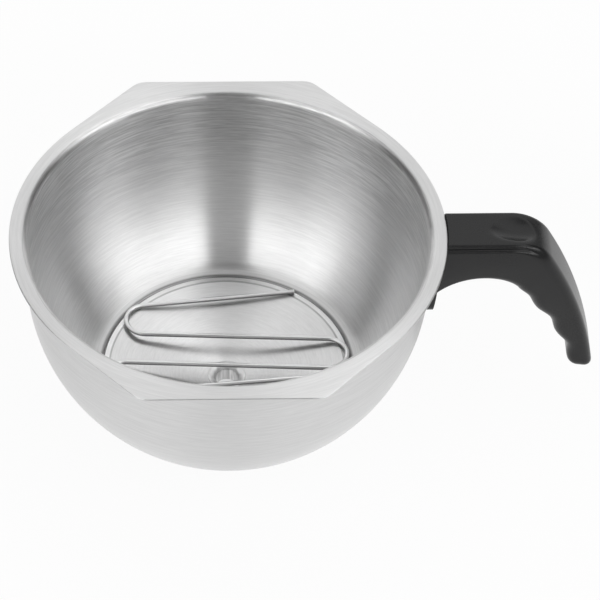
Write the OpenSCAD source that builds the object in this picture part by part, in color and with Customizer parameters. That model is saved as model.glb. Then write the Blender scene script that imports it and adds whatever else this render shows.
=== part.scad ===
// Funnel pot: a drawn steel bowl with a rail flange and a drain, a loose wire rack and a moulded side handle.
// Millimetres, +Z up. The origin is on the bowl's axis, at the mouth of the drain spout.
// Heights inside the modules are measured from the top of the flange, so they are negative going down.

/* [Bowl] */
// Thickness of the drawn sheet
sheet = 1; // [0.8:0.1:1.3]
// Outside radius of the upright part of the wall
wall_r = 82.8; // [76:0.2:92]
// Height of the upright part of the wall, from the top of the flange
wall_h = 20; // [16:0.5:24]
// Outside radius of the curve that leads the wall down to the floor
belly_r = 85; // [80:0.5:92]
// Depth from the top of the flange to the ledge that carries the rack
bowl_depth = 80; // [74:0.5:84]
// Outside radius of the fillet between the belly and the ledge
floor_fillet = 9.5; // [6:0.5:12]
// Width of the flat ledge round the floor
ledge_w = 3.2; // [2.6:0.1:4.5]
// Width of the line pressed round the outer edge of the ledge
seam_w = 1; // [0.6:0.1:1.4]
// Depth of that line
seam_deep = 0.4; // [0.2:0.05:0.6]
// Drop of the dished floor from the ledge to the drain's seat
dish_drop = 6; // [3:0.5:8]

/* [Flange] */
// Radius of the bend from the wall to the flange, on the inside of the bowl
rim_bend = 3; // [1.5:0.1:4]
// Reach of the round part of the flange beyond the wall
flange_w = 6.3; // [5:0.1:9]
// Reach of the straight rail edges beyond the round part of the flange
rail_reach = 1.4; // [0.8:0.1:3]
// Length of each rail edge between its two corner arcs
rail_len = 66; // [50:1:80]
// Radius of the four corners of the flange
corner_r = 8; // [5:0.5:12]

/* [Drain] */
// Radius of the drain's bore
drain_r = 4.7; // [3.5:0.1:6]
// Wall of the drain spout
spout_wall = 1.3; // [0.9:0.1:1.8]
// Length of the spout below the floor
spout_len = 6.5; // [4:0.5:10]
// Reach of the spout's lip over the floor, outside its tube
lip_reach = 2; // [1.4:0.1:2.6]
// Height of the spout's lip above its seat
lip_h = 0.8; // [0.6:0.1:1.2]
// Radius of the flare from the lip into the bore
flare_r = 2.5; // [1.5:0.1:3]
// Clearance between the spout's tube and the hole in the floor
spout_fit = 0.1; // [0.05:0.05:0.3]
// Width of the flat seat beyond the lip
seat_margin = 0.6; // [0.3:0.1:1.2]

/* [Rack] */
// Diameter of the rack's wire
wire_d = 2; // [1.6:0.1:3]
// Radius of the rack's bends, on the wire's centre line
bend_r = 8.4; // [7:0.1:9]
// Clearance between the rack and the ledge below it
rack_clear = 0.3; // [0.2:0.05:0.6]

/* [Handle] */
// Width of the handle's body
handle_w = 23; // [21:0.5:27]
// Width of the raised band along the top of the arm
band_w = 20; // [18:0.5:21]
// Height of the band's top above the flange
band_rise = 1.3; // [0.5:0.1:3]
// Height of the step from the band down to the body
band_step = 1.9; // [1:0.1:2.5]
// Straight length of the arm's top, from the edge of the flange
arm_len = 30.2; // [28:0.1:34]
// Radius of the knuckle between the arm and the back of the grip
knuckle_r = 11.5; // [9:0.5:14]
// Turn of the knuckle in degrees
knuckle_turn = 58; // [54:1:62]
// Radius of the long curve down the back of the grip
back_r = 170; // [140:1:190]
// Length of the long curve down the back of the grip
back_len = 70.5; // [66:0.5:76]
// Depth of the arm from its top to the crown of the finger arch
arm_t = 19; // [18:0.5:21]
// Distance of the arch's crown from the edge of the flange
arch_x = 15; // [13:0.2:17]
// Radius of the finger arch beyond its crown
arch_r = 20; // [18:0.5:23]
// Depth of the arm at the wall, below the top of the flange
root_drop = 36; // [33:0.5:39]
// Angle round the arch, up from the horizontal, where the finger side begins
finger_start = 44.7; // [43:0.1:47]
// Radius of the finger side of the grip
finger_r = 103; // [90:1:115]
// Turn of the finger side in degrees
finger_turn = 28.8; // [26:0.1:31]
// Depth of the finger scallops
scallop = 1.6; // [0:0.1:1.8]
// Distance along the finger side from ridge to ridge of the scallops
scallop_pitch = 18.4; // [15:0.1:20]
// Distance of the first ridge ahead of the finger side's beginning
scallop_lead = 2.8; // [0:0.1:8]
// Width of the grip at its tip
tip_w = 18.6; // [15:0.1:21]
// Length of the rounded end beyond the grip
tip_round = 4.7; // [3:0.1:8]
// Depth of the handle's foot below the top of the flange
foot_drop = 37.5; // [36:0.5:40]
// Thickness of the foot outside the wall
foot_t = 3.2; // [2.6:0.1:4.5]
// Inset of the foot's sides from the arm's
foot_inset = 0.4; // [0.2:0.1:1]
// Radius of the foot's lower corners
foot_corner = 5; // [3:0.5:8]
// Clearance between the handle and the bowl
handle_clear = 0.3; // [0.2:0.05:0.5]

/* [Thumb recess] */
// Length of the thumb recess
thumb_len = 28; // [18:0.5:32]
// Width of the thumb recess
thumb_w = 14; // [11:0.5:17]
// Depth of the thumb recess
thumb_deep = 2.4; // [1:0.1:2.6]
// Tilt of the thumb recess in degrees
thumb_tilt = 4; // [0:1:12]

/* [Fixing] */
// Thickness of the bracket's strip
strip_t = 2.5; // [2:0.1:3]
// Width of the bracket's strip
strip_w = 14; // [12:0.5:15]
// Length of the bracket's tongue outside the wall
tongue_len = 30; // [28:0.5:33]
// Depth of the tongue's top below the top of the flange
tongue_drop = 7; // [6.5:0.1:7.5]
// Height of the bracket's leg against the wall
leg_h = 16; // [12:0.5:18]
// Inside radius of the bracket's bend
strip_bend = 1.5; // [1:0.1:3]
// Gap that the weld fills between the bracket and the wall
weld_gap = 0.05; // [0.02:0.01:0.2]
// Diameter of the screws' thread
screw_d = 5; // [4:0.5:5]
// Distance of the first screw from the edge of the flange
screw_x = 6; // [5:0.5:8]
// Distance between the two screws
screw_pitch = 12; // [11:0.5:14]
// Diameter of the screws' heads
head_d = 9.2; // [8:0.1:10]
// Height of the screws' heads
head_h = 3.2; // [2.6:0.1:3.4]
// Length of the screws' tips beyond the nuts
screw_tip = 0.5; // [0.2:0.1:0.8]
// Width of the nuts across their flats
nut_af = 8; // [7:0.1:9]
// Height of the nuts
nut_h = 4; // [3:0.1:4.2]
// Thickness of the lock washers
washer_t = 1.2; // [0.8:0.1:1.4]
// Width of the lock washers' rings
washer_w = 1.7; // [1.2:0.1:2]
// Width of the lock washers' slits
washer_slit = 1; // [0.6:0.1:1.4]
// Thickness of the handle under the tongue
screw_floor = 2.5; // [2:0.1:3]
// Clearance round the bracket, the nuts and the screws
fix_clear = 0.3; // [0.2:0.05:0.5]

/* [Hidden] */
$fn = 96;

steel = [0.76, 0.76, 0.75];
wire_steel = [0.62, 0.62, 0.62];
black = [0.16, 0.16, 0.16];

// Heights of the floor, counted up from the spout's mouth
rim_z = spout_len + sheet + dish_drop + bowl_depth;

// Flange outline
inner_r = wall_r - sheet;
bend_end_r = inner_r + rim_bend;
flange_r = wall_r + flange_w;
rail_y = flange_r + rail_reach;
corner_c = [rail_len / 2, rail_y - corner_r];
corner_turn = atan2(corner_c.y, corner_c.x) - acos((flange_r - corner_r) / norm(corner_c));

// Section of the belly and the fillet below it
belly_c = [wall_r - belly_r, -wall_h];
fillet_z = floor_fillet - bowl_depth - sheet;
fillet_x = sqrt(pow(belly_r - floor_fillet, 2) - pow(fillet_z + wall_h, 2));
fillet_c = [belly_c.x + fillet_x, fillet_z];
belly_end = atan2(fillet_z + wall_h, fillet_x);
ledge_r = fillet_c.x - ledge_w;

// Drain
spout_r = drain_r + spout_wall;
hole_r = spout_r + spout_fit;
seat_r = spout_r + lip_reach + seat_margin;
seat_z = -bowl_depth - dish_drop;

// Rack: each bend reaches out to the middle of the ledge, at these angles round the bowl
rack_seat_r = fillet_c.x - ledge_w / 2;
rack_z = wire_d / 2 + rack_clear - bowl_depth;
rack_bend_angles = [142.5, 7.6, 189, -21.5];
rack_start_angle = 54.6;
rack_end_angle = 220;
rack_start = rack_seat_r * [cos(rack_start_angle), sin(rack_start_angle)];
rack_end = rack_seat_r * [cos(rack_end_angle), sin(rack_end_angle)];
rack_last = len(rack_bend_angles) - 1;

// Handle, seen from the side: the back is a line and two arcs, the finger side is two arcs
root_x = wall_r - foot_t;
knuckle_c = [flange_r + arm_len, band_rise - knuckle_r];
knuckle_end = 90 - knuckle_turn;
back_c = knuckle_c + (knuckle_r - back_r) * [cos(knuckle_end), sin(knuckle_end)];
back_end = knuckle_end - back_len / back_r * 180 / PI;
arch_c = [flange_r + arch_x, band_rise - arm_t - arch_r];
root_run = arch_c.x - root_x;
root_rise = root_drop + band_rise - arm_t;
root_arch_r = (pow(root_run, 2) + pow(root_rise, 2)) / (2 * root_rise);
root_arch_c = [arch_c.x, band_rise - arm_t - root_arch_r];
root_arch_turn = 2 * atan(root_rise / root_run);
finger_c = arch_c + (arch_r - finger_r) * [cos(finger_start), sin(finger_start)];
finger_len = finger_r * finger_turn * PI / 180;

// Handle, cut across: radii of the arm's edges, and the grip's as shares of its half width
band_edge_r = 0.7;
shoulder_r = 0.6;
arm_under_r = 3.5;
grip_back_share = 0.4;
grip_finger_share = 0.42;

// Stations along the handle where the arm's section begins and ends its change to the grip's
blend_from = 0.95;
blend_to = 2.05;

// Length over which the scallops grow to their depth, and the turn round the tip where it is cut flat
scallop_growth = 6;
tip_turn = 75;

// Points along the curves
flange_steps = 16;
corner_steps = 8;
rim_steps = 6;
lip_steps = 4;
flare_steps = 9;
belly_steps = 20;
fillet_steps = 8;
wire_sides = 12;
bend_steps = 14;
arm_steps = 10;
knuckle_steps = 8;
grip_steps = 27;
tip_steps = 5;

// Fixing
tongue_z = -tongue_drop;
tongue_end = wall_r + tongue_len;
slot_top = tongue_z + nut_h + screw_tip + fix_clear;
slot_floor = tongue_z - strip_t - fix_clear;
counterbore_z = slot_floor - screw_floor;
screw_places = [flange_r + screw_x, flange_r + screw_x + screw_pitch];
past = 1;
far = 300;

// Point on a circle in a plane section
function on_arc(c, r, a) = c + r * [cos(a), sin(a)];

// Points of a rounded corner, from point number skip on
function corner(c, r, a0, a1, n, skip = 0) =
  [for (i = [skip:n - 1]) on_arc(c, r, a0 + (a1 - a0) * i / (n - 1))];

// Smooth change from 0 to 1 as t runs from a to b
function ease(a, b, t) = let (u = min(1, max(0, (t - a) / (b - a)))) u * u * (3 - 2 * u);

// Band of sheet bent round a centre, from angle a0 up to angle a1, less than half a turn
module bent_band(c, r, t, a0, a1) {
  translate(c)
    intersection() {
      difference() {
        circle(r);
        circle(r - t);
      }
      polygon([[0, 0], on_arc([0, 0], 2 * r, a0), on_arc([0, 0], 2 * r, (a0 + a1) / 2), on_arc([0, 0], 2 * r, a1)]);
    }
}

// Upright rectangle between two radii and two heights
module band(r0, r1, z0, z1) {
  translate([r0, z0])
    square([r1 - r0, z1 - z0]);
}

// Outline of the flange: a disc with two straight rail edges, joined by tangents and rounded corners
module flange_outline() {
  quarter = concat(corner([0, 0], flange_r, 0, corner_turn, flange_steps),
                   corner(corner_c, corner_r, corner_turn, 90, corner_steps));
  last = len(quarter) - 1;
  polygon(concat(
    quarter,
    [for (i = [last:-1:1]) [-quarter[i].x, quarter[i].y]],
    -quarter,
    [for (i = [last:-1:1]) [quarter[i].x, -quarter[i].y]]));
}

// Half section of the bowl: its inner face from the flange down to the drain, then its outer face back up
module bowl_section() {
  rim_c = [bend_end_r, -rim_bend];
  flat_r = (bend_end_r + 2 * flange_r) / 3;
  polygon(concat(
    [[flat_r, 0]],
    corner(rim_c, rim_bend, 90, 180, rim_steps),
    corner(belly_c, belly_r - sheet, 0, belly_end, belly_steps),
    corner(fillet_c, floor_fillet - sheet, belly_end, -90, fillet_steps, 1),
    [[fillet_c.x - seam_w / 2, -bowl_depth - seam_deep], [fillet_c.x - seam_w, -bowl_depth]],
    [[ledge_r, -bowl_depth], [seat_r, seat_z], [hole_r, seat_z]],
    [[hole_r, seat_z - sheet], [seat_r, seat_z - sheet], [ledge_r, -bowl_depth - sheet]],
    corner(fillet_c, floor_fillet, -90, belly_end, fillet_steps),
    corner(belly_c, belly_r, belly_end, 0, belly_steps, 1),
    corner(rim_c, rim_bend - sheet, 180, 90, rim_steps),
    [[flat_r, -sheet]]));
}

// Drawn bowl with its flange, which is cut with two straight edges that run on rails
module funnel_bowl() {
  color(steel)
    translate([0, 0, rim_z]) {
      rotate_extrude()
        bowl_section();
      translate([0, 0, -sheet])
        linear_extrude(sheet)
          difference() {
            flange_outline();
            circle((2 * bend_end_r + flange_r) / 3);
          }
    }
}

// Turned spout: a lip on the floor, a flared bore and a plain tube below
module drain_spout() {
  lip_r = spout_r + lip_reach;
  lip_top = seat_z + lip_h;
  tube_low = seat_z - sheet - spout_len;
  flare_c = [drain_r + flare_r, lip_top - flare_r];
  color(steel)
    translate([0, 0, rim_z])
      rotate_extrude()
        polygon(concat([[spout_r, tube_low], [spout_r, seat_z], [lip_r, seat_z]],
                       corner([lip_r - lip_h / 2, seat_z + lip_h / 2], lip_h / 2, 0, 90, lip_steps),
                       corner(flare_c, flare_r, 90, 180, flare_steps),
                       [[drain_r, tube_low]]));
}

// Centre of a bend of the rack, and the way it turns: 1 is to the left, -1 to the right
function bend_c(i) = (rack_seat_r - bend_r) * [cos(rack_bend_angles[i]), sin(rack_bend_angles[i])];
function turn(i) = i % 2 == 0 ? 1 : -1;

// Heading of leg i, which is tangent to the bends at its ends
function bearing(v) = atan2(v.y, v.x);
function leg_heading(i) =
  let (a = i == 0 ? rack_start : bend_c(i - 1), b = i > rack_last ? rack_end : bend_c(i), d = norm(b - a))
  i == 0 ? bearing(b - a) - asin(turn(0) * bend_r / d)
  : i > rack_last ? bearing(b - a) + asin(turn(rack_last) * bend_r / d)
  : bearing(b - a) + asin(turn(i - 1) * 2 * bend_r / d);

// Where the wire meets bend i when it runs along a heading
function touch(i, heading) = on_arc(bend_c(i), bend_r, heading - turn(i) * 90);
function bend_sweep(i) = (turn(i) * (leg_heading(i + 1) - leg_heading(i)) + 720) % 360;

// Points round the wire where it passes p along a heading
function wire_ring(p, heading) =
  [for (k = [0:wire_sides - 1])
     let (q = on_arc([0, 0], wire_d / 2, 360 * k / wire_sides))
     [p.x - sin(heading) * q.x, p.y + cos(heading) * q.x, q.y]];

// One length of wire bent to and fro
module wire_rack() {
  color(wire_steel)
    translate([0, 0, rim_z + rack_z])
      skin(concat(
        [wire_ring(rack_start, leg_heading(0))],
        [for (i = [0:rack_last], k = [0:bend_steps])
           let (heading = leg_heading(i) + turn(i) * bend_sweep(i) * k / bend_steps)
           wire_ring(touch(i, heading), heading)],
        [wire_ring(rack_end, leg_heading(rack_last + 1))]));
}

// Outside of the bowl as a solid, grown by a clearance
module bowl_room(gap) {
  side = corner(belly_c, belly_r + gap, 0, belly_end, belly_steps);
  rotate_extrude()
    polygon(concat([[0, past], [wall_r + gap, past]], side, [[0, side[belly_steps - 1].y]]));
}

// Side view of the handle at station u: 0 to 1 along the arm, to 2 round the knuckle, to 3 down the grip
function back_pt(u) =
  u < 1 ? [root_x + (knuckle_c.x - root_x) * u, band_rise]
  : u < 2 ? on_arc(knuckle_c, knuckle_r, 90 - knuckle_turn * (u - 1))
  : on_arc(back_c, back_r, knuckle_end + (back_end - knuckle_end) * (u - 2));
function finger_pt(u) =
  u < 1 ? on_arc(root_arch_c, root_arch_r, 90 + root_arch_turn * (1 - u))
  : u < 2 ? on_arc(arch_c, arch_r, 90 + (finger_start - 90) * (u - 1))
  : on_arc(finger_c, finger_r - ridge(finger_len * (u - 2)), finger_start - finger_turn * (u - 2));

// Height of the scallops' ridges at a distance along the finger side
function ridge(s) =
  scallop * min(1, s / scallop_growth) * (1 + cos(360 * (s + scallop_lead) / scallop_pitch)) / 2;
function half_w(u) = (handle_w + (tip_w - handle_w) * ease(2, 3, u)) / 2;

// Half outlines across the handle, from the middle of its back to the middle of its finger side
function arm_half(w, h) =
  concat([[0, h]],
         corner([band_w / 2 - band_edge_r, h - band_edge_r], band_edge_r, 90, 0, 3),
         [[band_w / 2, h - band_step]],
         corner([w - shoulder_r, h - band_step - shoulder_r], shoulder_r, 90, 0, 3),
         corner([w - arm_under_r, arm_under_r], arm_under_r, 0, -90, 4),
         [[0, 0]]);
function grip_half(w, h) =
  let (back = grip_back_share * w, front = grip_finger_share * w)
  concat([[0, h]],
         corner([w - back, h - back], back, 90, 0, 7),
         corner([w - front, front], front, 0, -90, 4),
         [[0, 0]]);
function half_outline(u, h) =
  let (w = half_w(u), k = ease(blend_from, blend_to, u))
  (1 - k) * arm_half(w, h) + k * grip_half(w, h);

// Closed ring of points at station u, shrunk about its middle by k and moved on by a step
function ring(u, k = 1, step = [0, 0]) =
  let (b = back_pt(u), f = finger_pt(u), h = norm(b - f), up = (b - f) / h, m = (b + f) / 2 + step,
       half = half_outline(u, h), n = len(half))
  [for (i = [0:2 * n - 3])
     let (q = i < n ? half[i] : [-half[2 * n - 2 - i].x, half[2 * n - 2 - i].y],
          p = m + up * (q.y - h / 2) * k)
     [p.x, -q.x * k, p.y]];

// Solid skinned over rings of points, with a flat first end and a fan of triangles on the last ring
module skin(rings) {
  n = len(rings[0]);
  last = len(rings) - 1;
  polyhedron(
    points = [for (r = rings) each r],
    faces = concat(
      [[for (i = [0:n - 1]) i]],
      [for (j = [0:last - 1], i = [0:n - 1])
         each [[j * n + i, (j + 1) * n + i, (j + 1) * n + (i + 1) % n],
               [j * n + i, (j + 1) * n + (i + 1) % n, j * n + (i + 1) % n]]],
      [for (i = [1:n - 2]) [last * n, last * n + i + 1, last * n + i]]));
}

module handle_skin() {
  almost = 3 - 1 / grip_steps;
  way = back_pt(3) - back_pt(almost) + finger_pt(3) - finger_pt(almost);
  skin(concat(
    [for (i = [0:arm_steps - 1]) ring(i / arm_steps)],
    [for (i = [0:knuckle_steps - 1]) ring(1 + i / knuckle_steps)],
    [for (i = [0:grip_steps]) ring(2 + i / grip_steps)],
    [for (i = [1:tip_steps])
       let (a = tip_turn * i / tip_steps)
       ring(3, sqrt(cos(a)), way / norm(way) * tip_round * sin(a))]));
}

// Foot of the handle: a plate that follows the wall below the arm
module handle_foot() {
  foot_w = handle_w - 2 * foot_inset;
  intersection() {
    bowl_room(handle_clear + foot_t);
    rotate([90, 0, 90])
      linear_extrude(far)
        difference() {
          translate([-foot_w / 2, -foot_drop])
            square([foot_w, foot_drop - sheet - handle_clear]);
          for (side = [0, 1])
            mirror([side, 0])
              translate([foot_w / 2 - foot_corner, foot_corner - foot_drop])
                difference() {
                  translate([0, -foot_corner - past])
                    square(foot_corner + past);
                  circle(foot_corner);
                }
        }
  }
}

// Oval hollow for the thumb: a slice off a barrel that lies along the arm
module thumb_recess() {
  barrel_r = (pow(thumb_w / 2, 2) + pow(thumb_deep, 2)) / (2 * thumb_deep);
  stave_r = (pow(thumb_len / 2, 2) + pow(thumb_deep, 2)) / (2 * thumb_deep);
  translate([knuckle_c.x - past, 0, band_rise + barrel_r - thumb_deep])
    rotate([0, 90 + thumb_tilt, 0])
      rotate_extrude()
        intersection() {
          translate([barrel_r - stave_r, 0])
            circle(stave_r);
          band(0, barrel_r + past, -thumb_len, thumb_len);
        }
}

// Room inside the handle for the bracket, its nuts and the screws
module fixing_room() {
  room_w = strip_w + 2 * fix_clear;
  translate([0, -room_w / 2, slot_floor])
    cube([tongue_end + fix_clear, room_w, slot_top - slot_floor]);
  translate([0, -room_w / 2, tongue_z - leg_h - fix_clear])
    cube([wall_r + strip_t + fix_clear, room_w, leg_h]);
  for (x = screw_places)
    translate([x, 0, -far])
      rotate(90) {
        cylinder(d = screw_d + 2 * fix_clear, h = far + slot_floor + past);
        cylinder(d = head_d + 2 * fix_clear, h = far + counterbore_z);
      }
}

// Moulded handle: a lofted arm and grip with a foot, relieved for the flange and the fixings
module handle() {
  color(black)
    translate([0, 0, rim_z])
      difference() {
        union() {
          handle_skin();
          handle_foot();
        }
        // Round cutters are turned, so that their seams are off the handle's middle plane
        rotate(180)
          bowl_room(handle_clear);
        translate([0, 0, -sheet - handle_clear])
          rotate(180)
            cylinder(r = flange_r + handle_clear, h = far);
        fixing_room();
        thumb_recess();
      }
}

// Strip bent to an angle: its leg is welded to the wall and its tongue carries the handle
module handle_bracket() {
  bend_c = [wall_r + strip_t + strip_bend, tongue_z - strip_t - strip_bend];
  color(steel)
    translate([0, 0, rim_z])
      difference() {
        translate([0, strip_w / 2, 0])
          rotate([90, 0, 0])
            linear_extrude(strip_w) {
              bent_band(bend_c, strip_bend + strip_t, strip_t, 90, 180);
              band(wall_r - sheet, wall_r + strip_t, tongue_z - leg_h, bend_c.y);
              band(bend_c.x, tongue_end, tongue_z - strip_t, tongue_z);
            }
        translate([0, 0, -far])
          cylinder(r = wall_r + weld_gap, h = far + past);
        for (x = screw_places)
          translate([x, 0, tongue_z - strip_t - past])
            cylinder(d = screw_d + fix_clear, h = strip_t + 2 * past);
      }
}

// Hexagon nuts welded on top of the tongue
module bracket_nuts() {
  color(steel)
    for (x = screw_places)
      translate([x, 0, rim_z + tongue_z])
        difference() {
          cylinder(d = nut_af / cos(30), h = nut_h, $fn = 6);
          translate([0, 0, -past])
            cylinder(d = screw_d + fix_clear / 2, h = nut_h + 2 * past);
        }
}

// Pan-head screws, driven up from the underside of the arm
module handle_screws() {
  head_z = counterbore_z - washer_t;
  dome = 0.8;
  color(wire_steel)
    for (x = screw_places)
      translate([x, 0, rim_z + head_z]) {
        cylinder(d = screw_d, h = tongue_z + nut_h + screw_tip - head_z);
        difference() {
          translate([0, 0, -head_h])
            rotate_extrude()
              polygon(concat([[0, 0]], corner([head_d / 2 - dome, dome], dome, -90, 0, 5),
                             [[head_d / 2, head_h], [0, head_h]]));
          for (a = [0, 90])
            rotate(a)
              translate([-head_d / 4, -dome / 2, -head_h - past])
                cube([head_d / 2, dome, past + head_h / 2]);
        }
      }
}

// Split spring washers under the screw heads
module lock_washers() {
  bore_d = screw_d + fix_clear;
  color(wire_steel)
    for (x = screw_places)
      translate([x, 0, rim_z + counterbore_z - washer_t])
        difference() {
          cylinder(d = bore_d + 2 * washer_w, h = washer_t);
          translate([0, 0, -past])
            cylinder(d = bore_d, h = washer_t + 2 * past);
          translate([0, -washer_slit / 2, -past])
            cube([head_d, washer_slit, washer_t + 2 * past]);
        }
}

funnel_bowl();
drain_spout();
wire_rack();
handle();
handle_bracket();
bracket_nuts();
handle_screws();
lock_washers();
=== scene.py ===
"""Looks of the funnel pot: a brushed bowl with a drain, a loose wire rack and a moulded side handle."""

import logging
import math
from dataclasses import dataclass
from enum import Enum
from typing import Any, Callable, Sequence

import bmesh
import bpy
from mathutils import Matrix, Vector

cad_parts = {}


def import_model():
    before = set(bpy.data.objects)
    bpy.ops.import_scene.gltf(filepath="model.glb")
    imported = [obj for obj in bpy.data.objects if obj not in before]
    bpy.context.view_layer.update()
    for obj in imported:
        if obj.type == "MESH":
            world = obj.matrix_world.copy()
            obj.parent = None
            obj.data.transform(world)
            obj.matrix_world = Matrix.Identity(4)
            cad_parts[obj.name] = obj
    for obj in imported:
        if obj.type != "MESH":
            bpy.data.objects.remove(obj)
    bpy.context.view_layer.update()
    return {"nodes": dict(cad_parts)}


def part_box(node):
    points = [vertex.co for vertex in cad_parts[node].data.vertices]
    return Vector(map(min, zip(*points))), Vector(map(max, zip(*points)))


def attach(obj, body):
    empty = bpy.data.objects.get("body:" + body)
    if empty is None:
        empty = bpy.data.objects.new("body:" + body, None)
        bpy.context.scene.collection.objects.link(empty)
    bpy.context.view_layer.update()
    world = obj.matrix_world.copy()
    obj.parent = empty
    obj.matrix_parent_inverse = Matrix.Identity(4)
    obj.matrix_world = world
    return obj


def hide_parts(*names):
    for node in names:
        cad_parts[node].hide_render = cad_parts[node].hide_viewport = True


Pair = tuple[float, float]
Triple = tuple[float, float, float]
Point = Pair
Place = Triple
Ring = list[Place]
Numbers = Sequence[Sequence[int]]
Sockets = dict[Any, Any]

MM = 0.001
WHITE = (1.0, 1.0, 1.0, 1.0)
AXIS: Point = (0.0, 0.0)
# How far a cut reaches past a face, in millimetres.
OVERLAP = 1.0
# Shares of a face's normal that make it count as level or as turned inward.
LEVEL_FACE = 0.9
INWARD_FACE = 0.3

log = logging.getLogger("funnel_pot")


class Slot(Enum):
    """Material slots of the dressed pieces."""

    BOWL = "bowl_steel"
    WIRE = "wire_steel"
    HANDLE = "handle_black"


class Body(Enum):
    """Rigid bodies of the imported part."""

    POT = "pot"
    RACK = "rack"


class Blend(Enum):
    """Operations of the Boolean modifier."""

    JOIN = "UNION"
    CUT = "DIFFERENCE"
    TRIM = "INTERSECT"


def math_operator(operation: str, swapped: bool = False) -> Callable[[Any, Any], "Signal"]:
    """Makes an operator method of Signal.

    Args:
        operation: the Math node's operation.
        swapped: True if the other value comes first.

    Returns:
        The method.
    """
    def method(self: "Signal", other: "Signal | float") -> "Signal":
        """Adds the operator's Math node."""
        return self.math(operation, other, swapped)
    return method


@dataclass
class Signal:
    """A node's output socket that Python operators turn into Math nodes on its board."""

    board: "NodeBoard"
    socket: bpy.types.NodeSocket

    __add__, __radd__ = math_operator("ADD"), math_operator("ADD", swapped=True)
    __sub__, __rsub__ = math_operator("SUBTRACT"), math_operator("SUBTRACT", swapped=True)
    __mul__, __rmul__ = math_operator("MULTIPLY"), math_operator("MULTIPLY", swapped=True)
    __truediv__, __pow__ = math_operator("DIVIDE"), math_operator("POWER")

    def math(self, operation: str, other: "Signal | float" = 0.0, swapped: bool = False) -> "Signal":
        """Adds one Math node for the signal and another value; swapped if that value comes first."""
        pair = (other, self) if swapped else (self, other)
        return self.board.signal("ShaderNodeMath", 0, dict(enumerate(pair)), operation=operation)

    def fade(self, low: float, high: float) -> "Signal":
        """Smooth change from 0 at low to 1 at high."""
        sockets = {"Value": self, "From Min": low, "From Max": high}
        return self.board.signal("ShaderNodeMapRange", 0, sockets, interpolation_type="SMOOTHSTEP")

    def around(self, middle: float, half: float) -> "Signal":
        """Smooth change from 0 to 1 over a stretch on both sides of a value."""
        return self.fade(middle - half, middle + half)


class NodeBoard:
    """Builds one node tree from Python calls."""

    def __init__(self, tree: bpy.types.NodeTree) -> None:
        """Takes over a tree and clears it."""
        self.tree = tree
        tree.nodes.clear()

    def node(self, kind: str, sockets: Sockets | None = None, **settings: Any) -> bpy.types.Node:
        """Adds a node.

        Args:
            kind: the node's type.
            sockets: signals, sockets or plain values for its inputs, by name or number.
            settings: its properties, which are set first.

        Returns:
            The node.
        """
        node = self.tree.nodes.new(kind)
        for key, value in settings.items():
            setattr(node, key, value)
        for key, value in (sockets or {}).items():
            self.feed(node.inputs[key], value)
        return node

    def feed(self, socket: bpy.types.NodeSocket, value: Any) -> None:
        """Links or sets an input socket.

        Args:
            socket: the input socket.
            value: a signal or an output socket to link, or a plain value.
        """
        source = value.socket if isinstance(value, Signal) else value
        if isinstance(source, bpy.types.NodeSocket):
            self.tree.links.new(source, socket)
        else:
            socket.default_value = value

    def signal(self, kind: str, output: str | int, sockets: Sockets | None = None, **settings: Any) -> Signal:
        """Adds a node and wraps one of its outputs, given by name or number."""
        return Signal(self, self.node(kind, sockets, **settings).outputs[output])

    def split(self, vector: bpy.types.NodeSocket) -> list[Signal]:
        """Takes a vector apart into X, Y and Z."""
        return [Signal(self, out) for out in self.node("ShaderNodeSeparateXYZ", {0: vector}).outputs]


class MaterialBoard(NodeBoard):
    """Node board of a material, with the parts that every finish uses."""

    def __init__(self, name: str) -> None:
        """Makes an empty material.

        Args:
            name: the material's name.
        """
        self.material = bpy.data.materials.new(name)
        self.material.use_nodes = True
        super().__init__(self.material.node_tree)
        self.place = self.node("ShaderNodeTexCoord").outputs["Object"]
        self.x, self.y, self.z = self.split(self.place)

    def vector(self, x: Signal | float, y: Signal | float, z: Signal | float) -> Signal:
        """Puts three values together as a vector."""
        return self.signal("ShaderNodeCombineXYZ", 0, {0: x, 1: y, 2: z})

    def noise(self, vector: Any, scale: float = 1.0, detail: float = 2.0, roughness: float = 0.5) -> Signal:
        """Noise of about 0 to 1, with a number of finer layers and their strength."""
        sockets = {"Vector": vector, "Scale": scale, "Detail": detail, "Roughness": roughness}
        return self.signal("ShaderNodeTexNoise", 0, sockets)

    def tint(self, tone: Signal, colour: Triple, low: float, high: float) -> bpy.types.NodeSocket:
        """Darker or lighter version of a colour.

        Args:
            tone: 0 for the darkest version, 1 for the lightest.
            colour: the colour.
            low: what the darkest version multiplies it by.
            high: what the lightest version multiplies it by.

        Returns:
            The mixed colour's socket.
        """
        dark, light = ((*(min(1.0, c * share) for c in colour), 1.0) for share in (low, high))
        mixed = self.node("ShaderNodeMix", {0: tone, 6: dark, 7: light}, data_type="RGBA", clamp_factor=False)
        return mixed.outputs[2]

    def bump(self, height: Signal, strength: float, distance: float) -> bpy.types.NodeSocket:
        """Normal of a surface that is raised by a height from 0 to 1, times a distance in metres."""
        sockets = {"Height": height, "Strength": strength, "Distance": distance}
        return self.node("ShaderNodeBump", sockets).outputs[0]

    @property
    def radius(self) -> Signal:
        """Distance from the Z axis."""
        return (self.x * self.x + self.y * self.y) ** 0.5

    def surface(self, sockets: Sockets, second: Sockets | None = None,
                share: float = 0.0) -> bpy.types.Material:
        """Ends the board in a Principled shader, or in a mix of two.

        Args:
            sockets: the shader's values and links.
            second: what a second shader has otherwise.
            share: the second shader's share.

        Returns:
            The material.
        """
        shader = self.node("ShaderNodeBsdfPrincipled", sockets)
        if second:
            other = self.node("ShaderNodeBsdfPrincipled", sockets | second)
            shader = self.node("ShaderNodeMixShader", {0: share, 1: shader.outputs[0], 2: other.outputs[0]})
        self.node("ShaderNodeOutputMaterial", {"Surface": shader.outputs[0]})
        return self.material


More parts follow.
